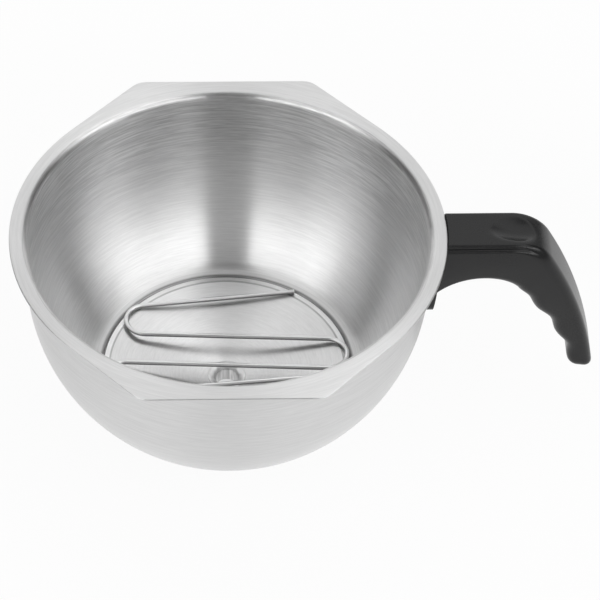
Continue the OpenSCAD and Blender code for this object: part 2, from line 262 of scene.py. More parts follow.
@dataclass(frozen=True)
class BrushedSteel:
    """Steel brushed round the bowl's axis: bands, hairs and a soft cloud, in metres.

    Its rings are painted shade, darker circles along creases, each with a middle radius, a half width and a
    depth.
    """

    name: str
    colour: Triple
    roughness: float
    anisotropic: float
    streak_turn: float = 0.25
    axis_r: float = 1e-5
    lines: float = 1000.0
    along: float = 1.0
    hair_lines: float = 2400.0
    hair_reach: float = 3.0
    drift: float = 26.0
    turn_reach: float = 4.0
    contrast: float = 0.11
    line_edges: Pair = (0.3, 0.7)
    tone_shares: Triple = (0.55, 0.25, 0.2)
    uneven: Pair = (0.05, 0.04)
    hair_relief: float = 0.4
    relief: Pair = (0.10, 0.00003)
    rings: tuple[Triple, ...] = ()
    ring_core: float = 0.3
    wide: float = 0.0
    wide_roughness: float = 0.5
    calm_z: Pair | None = None
    calm_share: float = 0.35
    painted_top_shade: float = 0.0
    painted_top_shade_z: Pair = (0.03, 0.085)

    def make(self) -> bpy.types.Material:
        """Builds the finish.

        Returns:
            The material.
        """
        board = MaterialBoard(self.name)
        radius = board.radius + self.axis_r
        across = (radius + board.z) * self.along
        around_x = board.x / radius * self.turn_reach
        around_y = board.y / radius * self.turn_reach
        bands = board.noise(board.vector(around_x, around_y, across * self.lines), detail=3.0, roughness=0.6)
        hair_x, hair_y = around_x * self.hair_reach, around_y * self.hair_reach
        hairs = board.noise(board.vector(hair_x, hair_y, across * self.hair_lines), detail=1.0)
        cloud = board.noise(board.place, self.drift)
        band_share, hair_share, cloud_share = self.tone_shares
        tone = bands.fade(*self.line_edges) * band_share + hairs.fade(*self.line_edges) * hair_share
        tone = tone + cloud * cloud_share
        if self.calm_z:
            calm = self.calm_share + (1.0 - self.calm_share) * board.z.fade(*self.calm_z)
            tone = 0.5 + (tone - 0.5) * calm
        per_tone = 2.0 * self.contrast
        # Painted shade: the wall's colour darkens towards the top and lightens towards the floor.
        if self.painted_top_shade:
            tone = tone + (0.5 - board.z.fade(*self.painted_top_shade_z)) * (self.painted_top_shade / per_tone)
        # Painted shade: each ring darkens the colour along a crease.
        for middle, half, depth in self.rings:
            off = (radius - middle).math("ABSOLUTE")
            tone = tone - (1.0 - off.fade(half * self.ring_core, half)) * (depth / per_tone)
        uneven = (bands - 0.5) * self.uneven[0] + (cloud - 0.5) * self.uneven[1]
        height = bands * (1.0 - self.hair_relief) + hairs * self.hair_relief
        main = {
            "Base Color": board.tint(tone, self.colour, 1.0 - self.contrast, 1.0 + self.contrast),
            "Metallic": 1.0,
            "Roughness": uneven + self.roughness,
            "Anisotropic": self.anisotropic,
            "Anisotropic Rotation": self.streak_turn,
            "Normal": board.bump(height, *self.relief),
        }
        second = {"Roughness": uneven + self.wide_roughness, "Anisotropic": 1.0} if self.wide else None
        return board.surface(main, second, self.wide)


@dataclass(frozen=True)
class DrawnWire:
    """Drawn wire or plain plated steel, with fine scratches, a soft cloud and perhaps a painted shade that
    darkens its underside.
    """

    name: str
    colour: Triple
    roughness: float
    scratch: float = 900.0
    drift: float = 70.0
    low: float = 0.88
    high: float = 1.1
    uneven: float = 0.06
    relief: Pair = (0.08, 0.00005)
    painted_shade_z: Pair = (0.0, 0.0)
    painted_shade_depth: float = 0.0

    def make(self) -> bpy.types.Material:
        """Builds the finish.

        Returns:
            The material.
        """
        board = MaterialBoard(self.name)
        scratches = board.noise(board.place, self.scratch, detail=3.0, roughness=0.65)
        cloud = board.noise(board.place, self.drift)
        tone = scratches * 0.5 + cloud * 0.5
        # Painted shade: the colour darkens towards the underside of the wire.
        if self.painted_shade_depth:
            tone = tone - (1.0 - board.z.fade(*self.painted_shade_z)) * (self.painted_shade_depth / (self.high - self.low))
        return board.surface({
            "Base Color": board.tint(tone, self.colour, self.low, self.high),
            "Metallic": 1.0,
            "Roughness": self.roughness + (cloud - 0.5) * self.uneven,
            "Normal": board.bump(scratches, *self.relief),
        })


@dataclass(frozen=True)
class BlackMoulding:
    """Satin black moulded plastic with a fine spark-eroded grain."""

    name: str
    colour: Triple
    roughness: float
    ior: float = 1.38
    grain: float = 3200.0
    grain_share: float = 0.4
    drift: float = 45.0
    low: float = 0.85
    high: float = 1.2
    uneven: Pair = (0.08, 0.06)
    relief: Pair = (0.12, 0.00004)

    def make(self) -> bpy.types.Material:
        """Builds the finish.

        Returns:
            The material.
        """
        board = MaterialBoard(self.name)
        grain = board.noise(board.place, self.grain, roughness=0.6)
        cloud = board.noise(board.place, self.drift, detail=3.0)
        tone = grain * self.grain_share + cloud * (1.0 - self.grain_share)
        return board.surface({
            "Base Color": board.tint(tone, self.colour, self.low, self.high),
            "Roughness": self.roughness + (cloud - 0.5) * self.uneven[0] + (grain - 0.5) * self.uneven[1],
            "IOR": self.ior,
            "Normal": board.bump(grain, *self.relief),
        })


def on_arc(centre: Point, radius: float, angle: float) -> Point:
    """Point on a circle at an angle in degrees."""
    turn = math.radians(angle)
    return (centre[0] + radius * math.cos(turn), centre[1] + radius * math.sin(turn))


def arc(centre: Point, radius: float, start: float, end: float, steps: int) -> list[Point]:
    """Points along an arc between two angles in degrees, both ends included."""
    return [on_arc(centre, radius, start + (end - start) * i / steps) for i in range(steps + 1)]


def rounded(before: Point, corner: Point, after: Point, radius: float, steps: int = 4) -> list[Point]:
    """Points that round a corner between two straight runs.

    Args:
        before: a point on the run that leads in.
        corner: the sharp corner.
        after: a point on the run that leads out.
        radius: radius of the round.
        steps: number of steps along it.

    Returns:
        The points of the round, from the first run to the second.
    """
    at = Vector(corner)
    inward = (Vector(before) - at).normalized()
    outward = (Vector(after) - at).normalized()
    half = inward.angle(outward) / 2
    middle = at + (inward + outward).normalized() * radius / math.sin(half)
    first = at + inward * radius / math.tan(half) - middle
    last = at + outward * radius / math.tan(half) - middle
    turn = first.angle_signed(last)
    points = (middle + Matrix.Rotation(-turn * i / steps, 2) @ first for i in range(steps + 1))
    return [(p.x, p.y) for p in points]


def grey(level: float) -> Triple:
    """Grey of a level."""
    return (level, level, level)


def smooth_step(low: float, high: float, value: float) -> float:
    """Smooth change from 0 at low to 1 at high."""
    share = min(1.0, max(0.0, (value - low) / (high - low)))
    return share * share * (3 - 2 * share)


def spread(start: float, end: float, steps: int) -> list[float]:
    """Evenly spaced values, without the last one."""
    return [start + (end - start) * i / steps for i in range(steps)]


def add_object(name: str, data: bpy.types.ID) -> bpy.types.Object:
    """Makes an object and puts it in the scene.

    Args:
        name: the object's name.
        data: its mesh or camera.

    Returns:
        The object.
    """
    made = bpy.data.objects.new(name, data)
    bpy.context.scene.collection.objects.link(made)
    return made


def clean_mesh(mesh: bpy.types.Mesh, merge: float, flat: float) -> None:
    """Merges points that lie in one place, drops flat faces and turns the rest outward.

    Args:
        mesh: the mesh.
        merge: the largest distance of merged points, in metres.
        flat: the largest width of a dropped face, in metres.
    """
    shape = bmesh.new()
    shape.from_mesh(mesh)
    bmesh.ops.remove_doubles(shape, verts=shape.verts, dist=merge)
    bmesh.ops.dissolve_degenerate(shape, edges=shape.edges, dist=flat)
    bmesh.ops.recalc_face_normals(shape, faces=shape.faces)
    shape.to_mesh(mesh)
    shape.free()


def add_mesh(name: str, places: Sequence[Any], edges: Numbers, faces: Numbers) -> bpy.types.Object:
    """Makes a mesh object.

    Args:
        name: the object's name.
        places: its points in metres.
        edges: point numbers of each loose edge.
        faces: point numbers of each face.

    Returns:
        The object.
    """
    mesh = bpy.data.meshes.new(name)
    mesh.from_pydata(places, edges, faces)
    return add_object(name, mesh)


def mesh_object(name: str, places: Sequence[Place], faces: Numbers) -> bpy.types.Object:
    """Makes a clean, smooth mesh object.

    Args:
        name: the object's name.
        places: its points in millimetres.
        faces: point numbers of each face.

    Returns:
        The object.
    """
    made = add_mesh(name, [Vector(p) * MM for p in places], [], faces)
    clean_mesh(made.data, merge=1e-7, flat=1e-8)
    made.data.shade_smooth()
    return made


def skin(name: str, rings: Sequence[Ring], closed: bool) -> bpy.types.Object:
    """Covers a row of rings with faces.

    Args:
        name: the object's name.
        rings: rings with equal numbers of points.
        closed: True if the last ring joins the first, False if both ends get a cap.

    Returns:
        The object.
    """
    count, last = len(rings[0]), len(rings)
    faces: list[list[int]] = []
    for j in range(last if closed else last - 1):
        here, there = j * count, (j + 1) % last * count
        for i in range(count):
            k = (i + 1) % count
            faces.append([here + i, there + i, there + k, here + k])
    if not closed:
        faces.append(list(range(count)))
        faces.append([(last - 1) * count + i for i in range(count)])
    return mesh_object(name, [p for ring in rings for p in ring], faces)


def turned_ring(profile: Sequence[Point], angle: float, lift: float) -> Ring:
    """Raises (radius, height) points and turns them round the Z axis by an angle in radians."""
    return [(r * math.cos(angle), r * math.sin(angle), z + lift) for r, z in profile]


def lathe(name: str, profile: Sequence[Point], lift: float, columns: int) -> bpy.types.Object:
    """Turns a closed loop of (radius, height) points round the Z axis, lifted by a height."""
    rings = [turned_ring(profile, a, lift) for a in spread(0.0, math.tau, columns)]
    return skin(name, rings, closed=True)


def paint(made: bpy.types.Object, material: bpy.types.Material) -> None:
    """Gives an object one finish."""
    made.data.materials.clear()
    made.data.materials.append(material)


def finish_piece(made: bpy.types.Object, material: bpy.types.Material, body: Body,
                 node: str) -> None:
    """Dresses a piece, puts it on its body and hides the node that it stands for.

    Args:
        made: the piece.
        material: its finish.
        body: the body that it rides on.
        node: the node that it stands for.
    """
    paint(made, material)
    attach(made, body.value)
    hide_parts(node)
    log.info("%s: %d faces, rides on %s", made.name, len(made.data.polygons), body.value)


def plain_mesh(made: bpy.types.Object) -> None:
    """Turns an object's live modifiers into its own mesh.

    Args:
        made: the object.
    """
    evaluated = made.evaluated_get(bpy.context.evaluated_depsgraph_get())
    mesh = bpy.data.meshes.new_from_object(evaluated)
    made.modifiers.clear()
    made.data = mesh


def combine(made: bpy.types.Object, tool: bpy.types.Object, blend: Blend) -> None:
    """Joins or cuts an object with a tool.

    Args:
        made: the object.
        tool: the tool, which is used up.
        blend: what is done.
    """
    modifier = made.modifiers.new(tool.name, "BOOLEAN")
    modifier.operation = blend.value
    modifier.solver = "EXACT"
    modifier.object = tool
    bpy.context.view_layer.update()
    plain_mesh(made)
    bpy.data.objects.remove(tool)


class GeometryBoard(NodeBoard):
    """Node board of a Geometry Nodes tree with named inputs."""

    def __init__(self, name: str, asked: dict[str, str]) -> None:
        """Makes a tree with a geometry input and output.

        Args:
            name: the tree's name.
            asked: socket types of its further inputs, by name.
        """
        self.group = bpy.data.node_groups.new(name, "GeometryNodeTree")
        super().__init__(self.group)
        self.add_socket("Geometry", "NodeSocketGeometry", "OUTPUT")
        kinds = {"Geometry": "NodeSocketGeometry"} | asked
        self.inputs = {key: self.add_socket(key, kind, "INPUT") for key, kind in kinds.items()}
        self.given = self.node("NodeGroupInput").outputs

    def add_socket(self, name: str, kind: str, way: str) -> str:
        """Adds a socket to the tree's interface and gives its identifier."""
        return self.group.interface.new_socket(name, in_out=way, socket_type=kind).identifier

    def end(self, geometry: bpy.types.NodeSocket) -> None:
        """Ends the tree: instances are made real and get the finish.

        Args:
            geometry: what the tree has made.
        """
        real = self.node("GeometryNodeRealizeInstances", {0: geometry})
        dressed = self.node("GeometryNodeSetMaterial",
                            {"Geometry": real.outputs[0], "Material": self.given["Finish"]})
        self.node("NodeGroupOutput", {0: dressed.outputs[0]})

    def apply(self, made: bpy.types.Object, values: dict[str, Any]) -> None:
        """Runs the tree on an object and keeps the result as its mesh.

        Args:
            made: the object.
            values: values of the tree's inputs, by name.
        """
        modifier = made.modifiers.new(self.group.name, "NODES")
        modifier.node_group = self.group
        for name, value in values.items():
            modifier[self.inputs[name]] = value
        plain_mesh(made)


@dataclass
class FunnelBowl:
    """Drawn bowl with a rail flange, in millimetres from the top of the flange."""

    rim_z: float
    flange_r: float
    rail_y: float
    sheet: float = 1.0
    wall_r: float = 82.8
    wall_h: float = 20.0
    belly_r: float = 85.0
    depth: float = 80.0
    fillet: float = 9.5
    ledge_w: float = 3.2
    dish_drop: float = 6.0
    rim_bend: float = 3.0
    seam_w: float = 1.0
    seam_deep: float = 0.4
    rail_len: float = 66.0
    corner_r: float = 8.0
    hole_r: float = 6.1
    seat_r: float = 8.6
    edge_r: float = 0.35
    columns: int = 288
    corner_columns: int = 14
    seat_round: float = 3.0
    ledge_round: float = 0.8
    lip_round: float = 0.15
    root_round: float = 0.12
    toe_angle: float = -88.0
    dish_steps: int = 12
    wall_steps: int = 8
    belly_steps: int = 40
    fillet_steps: int = 14
    seam_steps: int = 3
    rim_steps: int = 10
    rim_under_steps: int = 8
    edge_steps: int = 4
    flat_rows: Triple = (0.25, 0.5, 0.75)

    def __post_init__(self) -> None:
        """Works out the centres of the section's arcs and of the flange's corners."""
        self.belly_c: Point = (self.wall_r - self.belly_r, -self.wall_h)
        fillet_z = self.fillet - self.depth - self.sheet
        drop = fillet_z + self.wall_h
        reach = math.sqrt((self.belly_r - self.fillet) ** 2 - drop ** 2)
        self.fillet_c: Point = (self.belly_c[0] + reach, fillet_z)
        self.belly_end = math.degrees(math.atan2(drop, reach))
        self.ledge_r = self.fillet_c[0] - self.ledge_w
        self.seat_z = -self.depth - self.dish_drop
        self.rim_c: Point = (self.wall_r - self.sheet + self.rim_bend, -self.rim_bend)
        self.corner_c: Point = (self.rail_len / 2, self.rail_y - self.corner_r)
        lean = math.acos((self.flange_r - self.corner_r) / math.hypot(*self.corner_c))
        self.corner_turn = math.atan2(self.corner_c[1], self.corner_c[0]) - lean

    def edge_radius(self, turn: float) -> float:
        """Distance of the flange's edge from the axis.

        Args:
            turn: angle round the axis, in radians.

        Returns:
            The distance.
        """
        a = math.atan2(abs(math.sin(turn)), abs(math.cos(turn)))
        cx, cy = self.corner_c
        begin = math.atan2(cy + self.corner_r * math.sin(self.corner_turn),
                           cx + self.corner_r * math.cos(self.corner_turn))
        if a <= self.corner_turn:
            return self.flange_r
        if a <= begin:
            return self.flange_r / math.cos(a - self.corner_turn)
        if a <= math.atan2(self.rail_y, cx):
            along = cx * math.cos(a) + cy * math.sin(a)
            return along + math.sqrt(self.corner_r ** 2 - cx ** 2 - cy ** 2 + along ** 2)
        return self.rail_y / math.sin(a)

    def turns(self) -> list[float]:
        """Angles of the columns, closer together at the flange's corners.

        Returns:
            The angles in radians, in order.
        """
        low, high = self.corner_turn, math.atan2(self.rail_y, self.corner_c[0])
        ends = [*spread(low, high, self.corner_columns), high]
        quarters = ends + [math.pi - a for a in ends]
        quarters += [math.pi + a for a in ends] + [math.tau - a for a in ends]
        return sorted(set(spread(0.0, math.tau, self.columns) + quarters))

    def inside(self) -> list[Point]:
        """Inner face, from the drain's hole up to the flat of the flange.

        Returns:
            Its points, as (radius, height).
        """
        seat = (self.seat_r, self.seat_z)
        ledge = (self.ledge_r, -self.depth)
        hole = (self.hole_r, self.seat_z)
        toe = (self.fillet_c[0], -self.depth)
        lip = (toe[0] - self.seam_w, -self.depth)
        root = (toe[0] - self.seam_w / 2, -self.depth - self.seam_deep)
        beyond = (toe[0] + self.seam_w, -self.depth)
        run, rise = ledge[0] - seat[0], ledge[1] - seat[1]
        steps = self.dish_steps
        slope = [(seat[0] + run * i / steps, seat[1] + rise * i / steps) for i in range(1, steps)]
        seam = [*rounded(ledge, lip, root, self.lip_round, self.seam_steps),
                *rounded(lip, root, toe, self.root_round, self.seam_steps),
                *rounded(root, toe, beyond, self.lip_round, self.seam_steps)]
        wall_in, straight = self.wall_r - self.sheet, self.wall_h - self.rim_bend
        wall = [(wall_in, -self.wall_h + straight * i / self.wall_steps) for i in range(1, self.wall_steps)]
        bend = arc(self.fillet_c, self.fillet - self.sheet, self.toe_angle, self.belly_end, self.fillet_steps)
        belly = arc(self.belly_c, self.belly_r - self.sheet, self.belly_end, 0.0, self.belly_steps)[1:]
        return [hole, *rounded(hole, seat, ledge, self.seat_round), *slope,
                *rounded(seat, ledge, lip, self.ledge_round), *seam, *bend, *belly, *wall,
                *arc(self.rim_c, self.rim_bend, 180.0, 90.0, self.rim_steps)]

    def outside(self) -> list[Point]:
        """Outer face, from the underside of the flange down to the drain's hole.

        Returns:
            Its points, as (radius, height).
        """
        low, seat_low = -self.depth - self.sheet, self.seat_z - self.sheet
        return [*arc(self.rim_c, self.rim_bend - self.sheet, 90.0, 180.0, self.rim_under_steps),
                *arc(self.belly_c, self.belly_r, 0.0, self.belly_end, self.belly_steps),
                *arc(self.fillet_c, self.fillet, self.belly_end, -90.0, self.fillet_steps)[1:],
                (self.ledge_r, low), (self.seat_r, seat_low), (self.hole_r, seat_low)]

    def build(self) -> bpy.types.Object:
        """Makes the bowl as one closed shell.

        Returns:
            The bowl.
        """
        inner, outer = self.inside(), self.outside()
        rings: list[Ring] = []
        for turn in self.turns():
            edge = self.edge_radius(turn)
            flat = [(self.rim_c[0] + (edge - self.rim_c[0]) * share, 0.0) for share in self.flat_rows]
            bend_r, steps = edge - self.edge_r, self.edge_steps
            top = arc((bend_r, -self.edge_r), self.edge_r, 90.0, 0.0, steps)
            under = arc((bend_r, self.edge_r - self.sheet), self.edge_r, 0.0, -90.0, steps)
            rings.append(turned_ring([*inner, *flat, *top, *under, *outer], turn, self.rim_z))
        return skin("bowl_shell", rings, closed=True)

    def dress_inside(self, made: bpy.types.Object, wall: bpy.types.Material, dish: bpy.types.Material,
                     ledge: bpy.types.Material) -> None:
        """Gives the inner wall, the dished floor and the ledge round it materials of their own; the floor and
        the ledge have lighter copies of the steel, painted light.

        Args:
            made: the dressed bowl.
            wall: the inner wall's finish.
            dish: the floor's material, a lighter copy of the steel with painted light.
            ledge: the ledge's material, a still lighter copy with a painted highlight.
        """
        for material in (wall, dish, ledge):
            made.data.materials.append(material)
        wall_slot, dish_slot, ledge_slot = range(1, 4)
        middle_z = (self.rim_z - self.depth / 2) * MM
        ledge_start, ledge_end = self.ledge_r * MM, (self.fillet_c[0] - self.seam_w) * MM
        for face in made.data.polygons:
            out = math.hypot(face.center.x, face.center.y)
            inward = -(face.normal.x * face.center.x + face.normal.y * face.center.y) / out
            level = face.normal.z > LEVEL_FACE
            if level and out < ledge_start:
                face.material_index = dish_slot
            elif level and ledge_start < out < ledge_end and face.center.z < middle_z:
                face.material_index = ledge_slot
            elif inward > INWARD_FACE and out > ledge_start:
                face.material_index = wall_slot


@dataclass
class DrainSpout:
    """Turned spout, in millimetres."""

    seat_z: float
    drain_r: float = 4.7
    spout_r: float = 6.0
    lip_r: float = 8.0
    lip_h: float = 0.8
    flare_r: float = 2.5
    edge_r: float = 0.3
    lip_slope: float = 0.35
    columns: int = 128
    edge_steps: int = 4
    lip_steps: int = 8
    flare_steps: int = 14

    def build(self) -> bpy.types.Object:
        """Makes the spout as one closed shell.

        Returns:
            The spout.
        """
        top, lip = self.seat_z + self.lip_h, self.lip_h / 2
        edge, flare = self.edge_r, self.flare_r
        profile = [*arc((self.spout_r - edge, edge), edge, -90.0, 0.0, self.edge_steps),
                   (self.spout_r, self.seat_z),
                   *arc((self.lip_r - lip, self.seat_z + lip), lip, -90.0, 90.0, self.lip_steps),
                   *arc((self.drain_r + flare, top - flare), flare, 90.0, 180.0, self.flare_steps),
                   *arc((self.drain_r + edge, edge), edge, 180.0, 270.0, self.edge_steps)]
        return lathe("drain_spout_turned", profile, 0.0, self.columns)

    def dress_lip(self, made: bpy.types.Object, material: bpy.types.Material) -> None:
        """Gives the lip the floor's material, a lighter copy of the steel with painted light.

        Args:
            made: the dressed spout.
            material: the floor's material, with painted light.
        """
        made.data.materials.append(material)
        lip_slot = len(made.data.materials) - 1
        for face in made.data.polygons:
            if face.normal.z > self.lip_slope:
                face.material_index = lip_slot


@dataclass
class WireRack:
    """One length of wire bent to and fro, in millimetres."""

    seat_r: float
    height: float
    wire_d: float = 2.0
    bend_r: float = 8.4
    bend_angles: tuple[float, ...] = (142.5, 7.6, 189.0, -21.5)
    start_angle: float = 54.6
    end_angle: float = 220.0
    sides: int = 20
    bend_steps: int = 40

    def path(self) -> list[Place]:
        """Centre line of the wire: straight legs, each tangent to the bends at its ends.

        Returns:
            Its points.
        """
        centres = [Vector(on_arc(AXIS, self.seat_r - self.bend_r, a)) for a in self.bend_angles]
        first, last = (Vector(on_arc(AXIS, self.seat_r, a)) for a in (self.start_angle, self.end_angle))
        stops = [first, *centres, last]
        signs = [1.0 if i % 2 == 0 else -1.0 for i in range(len(centres))]
        radii = [0.0, *[self.bend_r * s for s in signs], 0.0]
        headings: list[float] = []
        for i in range(len(stops) - 1):
            run = stops[i + 1] - stops[i]
            headings.append(math.atan2(run.y, run.x) + math.asin((radii[i] - radii[i + 1]) / run.length))
        points = [first]
        for i, centre in enumerate(centres):
            sweep = (signs[i] * (headings[i + 1] - headings[i])) % math.tau
            for k in range(self.bend_steps + 1):
                heading = headings[i] + signs[i] * sweep * k / self.bend_steps
                side = heading - signs[i] * math.pi / 2
                points.append(centre + Vector((math.cos(side), math.sin(side))) * self.bend_r)
        points.append(last)
        return [(p.x, p.y, self.height) for p in points]

    def tree(self) -> GeometryBoard:
        """Tree that turns a line of points into wire.

        Returns:
            The tree's board.
        """
        board = GeometryBoard("wire_along_path", {"Wire Radius": "NodeSocketFloat", "Sides": "NodeSocketInt",
                                                  "Finish": "NodeSocketMaterial"})
        line = board.node("GeometryNodeMeshToCurve", {0: board.given["Geometry"]})
        level = board.node("GeometryNodeSetCurveNormal", {"Curve": line.outputs[0]}, mode="Z_UP")
        hoop = board.node("GeometryNodeCurvePrimitiveCircle",
                          {"Resolution": board.given["Sides"], "Radius": board.given["Wire Radius"]})
        wire = board.node("GeometryNodeCurveToMesh",
                          {"Curve": level.outputs[0], "Profile Curve": hoop.outputs[0], "Fill Caps": True})
        smooth = board.node("GeometryNodeSetShadeSmooth", {0: wire.outputs[0]})
        board.end(smooth.outputs[0])
        return board

    def build(self, material: bpy.types.Material) -> bpy.types.Object:
        """Makes the rack.

        Args:
            material: the wire's finish.

        Returns:
            The rack.
        """
        places = [Vector(p) * MM for p in self.path()]
        made = add_mesh("rack_wire", places, [(i, i + 1) for i in range(len(places) - 1)], [])
        values = {"Wire Radius": self.wire_d / 2 * MM, "Sides": self.sides, "Finish": material}
        self.tree().apply(made, values)
        return made


@dataclass
class Handle:
    """Moulded handle, in millimetres from the top of the flange.

    Its knuckle and the edges of its band are slightly rounder than the solid's, as in the photograph.
    """

    bowl: FunnelBowl
    width: float = 23.0
    band_w: float = 20.0
    band_rise: float = 1.3
    band_step: float = 1.9
    arm_len: float = 27.23
    knuckle_r: float = 18.0
    knuckle_turn: float = 61.0
    back_r: float = 184.5
    back_len: float = 65.7
    arm_t: float = 19.0
    arch_x: float = 15.0
    arch_r: float = 20.0
    root_drop: float = 36.0
    finger_start: float = 44.7
    finger_r: float = 103.0
    finger_turn: float = 28.8
    scallop: float = 1.6
    scallop_pitch: float = 18.4
    scallop_lead: float = 2.8
    scallop_growth: float = 6.0
    tip_w: float = 18.6
    tip_round: float = 4.7
    tip_turn: float = 75.0
    foot_drop: float = 37.5
    foot_t: float = 3.2
    foot_inset: float = 0.4
    foot_corner: float = 5.0
    clear: float = 0.3
    thumb_x: float = 28.5
    thumb_len: float = 28.0
    thumb_w: float = 14.0
    thumb_deep: float = 2.4
    thumb_tilt: float = 4.0
    band_edge_r: float = 1.4
    shoulder_r: float = 1.4
    under_r: float = 3.5
    back_share: float = 0.4
    finger_share: float = 0.42
    band_fade: Pair = (0.95, 2.05)
    band_steps: int = 5
    under_steps: int = 6
    back_parts: int = 14
    under_parts: int = 6
    thumb_soft: float = 0.3
    runs: tuple[tuple[float, float, int], ...] = ((0.0, 0.55, 12), (0.55, 1.0, 22), (1.0, 2.0, 24),
                                                  (2.0, 3.0, 84))
    tip_from: float = 2.96
    tip_steps: int = 10
    foot_reach: float = 20.0
    foot_steps: int = 10
    room_top: float = 30.0
    room_steps: int = 30
    room_columns: int = 256
    sharp_angle: float = 38.0

    def __post_init__(self) -> None:
        """Works out the arcs of the side view."""
        self.root_x = self.bowl.wall_r - self.foot_t
        self.knuckle_c: Point = (self.bowl.flange_r + self.arm_len, self.band_rise - self.knuckle_r)
        self.knuckle_end = 90.0 - self.knuckle_turn
        self.back_c = on_arc(self.knuckle_c, self.knuckle_r - self.back_r, self.knuckle_end)
        self.back_end = self.knuckle_end - math.degrees(self.back_len / self.back_r)
        crown = self.band_rise - self.arm_t
        self.arch_c: Point = (self.bowl.flange_r + self.arch_x, crown - self.arch_r)
        run, rise = self.arch_c[0] - self.root_x, self.root_drop + crown
        self.root_r = (run ** 2 + rise ** 2) / (2 * rise)
        self.root_c: Point = (self.arch_c[0], crown - self.root_r)
        self.root_turn = 2 * math.degrees(math.atan(rise / run))
        self.finger_c = on_arc(self.arch_c, self.arch_r - self.finger_r, self.finger_start)
        self.finger_len = self.finger_r * math.radians(self.finger_turn)

    def back_point(self, u: float) -> Vector:
        """Point of the back.

        Args:
            u: the station: to 1 along the arm, to 2 round the knuckle, to 3 down the grip.

        Returns:
            The point, as (distance from the bowl's axis, height).
        """
        if u < 1:
            return Vector((self.root_x + (self.knuckle_c[0] - self.root_x) * u, self.band_rise))
        if u < 2:
            return Vector(on_arc(self.knuckle_c, self.knuckle_r, 90.0 - self.knuckle_turn * (u - 1)))
        angle = self.knuckle_end + (self.back_end - self.knuckle_end) * (u - 2)
        return Vector(on_arc(self.back_c, self.back_r, angle))

    def finger_point(self, u: float) -> Vector:
        """Point of the finger side.

        Args:
            u: the station.

        Returns:
            The point, as (distance from the bowl's axis, height).
        """
        if u < 1:
            return Vector(on_arc(self.root_c, self.root_r, 90.0 + self.root_turn * (1 - u)))
        if u < 2:
            return Vector(on_arc(self.arch_c, self.arch_r, 90.0 + (self.finger_start - 90.0) * (u - 1)))
        run = self.finger_len * (u - 2)
        wave = (1 + math.cos(math.tau * (run + self.scallop_lead) / self.scallop_pitch)) / 2
        ridge = self.scallop * min(1.0, run / self.scallop_growth) * wave
        angle = self.finger_start - self.finger_turn * (u - 2)
        return Vector(on_arc(self.finger_c, self.finger_r - ridge, angle))

    def half_outline(self, u: float, high: float) -> list[Vector]:
        """Half of the outline across the handle, from the middle of the back to that of the finger side.

        Args:
            u: the station.
            high: distance from the finger side to the back.

        Returns:
            The points, as (half width, height above the finger side).
        """
        wide = (self.width + (self.tip_w - self.width) * smooth_step(2.0, 3.0, u)) / 2
        band, step = self.band_w / 2, high - self.band_step
        edge, shoulder, under = self.band_edge_r, self.shoulder_r, self.under_r
        arm = [(0.0, high), *arc((band - edge, high - edge), edge, 90.0, 0.0, self.band_steps), (band, step),
               *arc((wide - shoulder, step - shoulder), shoulder, 90.0, 0.0, self.band_steps),
               *arc((wide - under, under), under, 0.0, -90.0, self.under_steps), (0.0, 0.0)]
        # The grip's outline has as many points as the arm's, so that the two can be mixed.
        back, front = self.back_share * wide, self.finger_share * wide
        grip = [(0.0, high), *arc((wide - back, high - back), back, 90.0, 0.0, 2 * self.band_steps + 2),
                *arc((wide - front, front), front, 0.0, -90.0, self.under_steps), (0.0, 0.0)]
        share = smooth_step(*self.band_fade, u)
        mixed = [Vector(a).lerp(Vector(g), share) for a, g in zip(arm, grip)]
        fine: list[Vector] = []
        for here, there in zip(mixed, mixed[1:]):
            parts = self.back_parts if here.x == 0.0 else self.under_parts if there.x == 0.0 else 1
            fine += [here.lerp(there, k / parts) for k in range(parts)]
        return [*fine, mixed[-1]]

    def hollow(self, x: float, y: float, z: float) -> float:
        """Depth of the thumb recess below a point of the band.

        Args:
            x: distance from the bowl's axis.
            y: distance from the middle plane.
            z: height above the flange.

        Returns:
            How far the point moves down, 0 outside the recess.
        """
        barrel = ((self.thumb_w / 2) ** 2 + self.thumb_deep ** 2) / (2 * self.thumb_deep)
        stave = ((self.thumb_len / 2) ** 2 + self.thumb_deep ** 2) / (2 * self.thumb_deep)
        along = x - self.bowl.flange_r - self.thumb_x
        lean = math.tan(math.radians(self.thumb_tilt))
        axis = self.band_rise + barrel - self.thumb_deep - along * lean
        round_here = barrel - stave + math.sqrt(max(0.0, stave ** 2 - along ** 2))
        if round_here <= abs(y):
            return 0.0
        depth = z - (axis - math.sqrt(round_here ** 2 - y ** 2))
        soft = self.thumb_soft
        return (depth + math.hypot(depth, soft)) / 2 if depth > -3 * soft else 0.0

    def ring(self, u: float, share: float = 1.0, step: Vector | None = None) -> Ring:
        """Closed ring of points at a station.

        Args:
            u: the station.
            share: scale about the ring's middle.
            step: how far the ring is moved on.

        Returns:
            The ring.
        """
        back, finger = self.back_point(u), self.finger_point(u)
        up = back - finger
        high = up.length
        up.normalize()
        middle = (back + finger) / 2
        if step is not None:
            middle = middle + step
        half = self.half_outline(u, high)
        outline = half + [Vector((-q.x, q.y)) for q in reversed(half[1:-1])]
        ring: Ring = []
        for q in outline:
            p = middle + up * ((q.y - high / 2) * share)
            y = -q.x * share
            sunk = self.hollow(p.x, y, p.y) if q.y > high - self.band_step else 0.0
            ring.append((p.x, y, p.y - sunk + self.bowl.rim_z))
        return ring

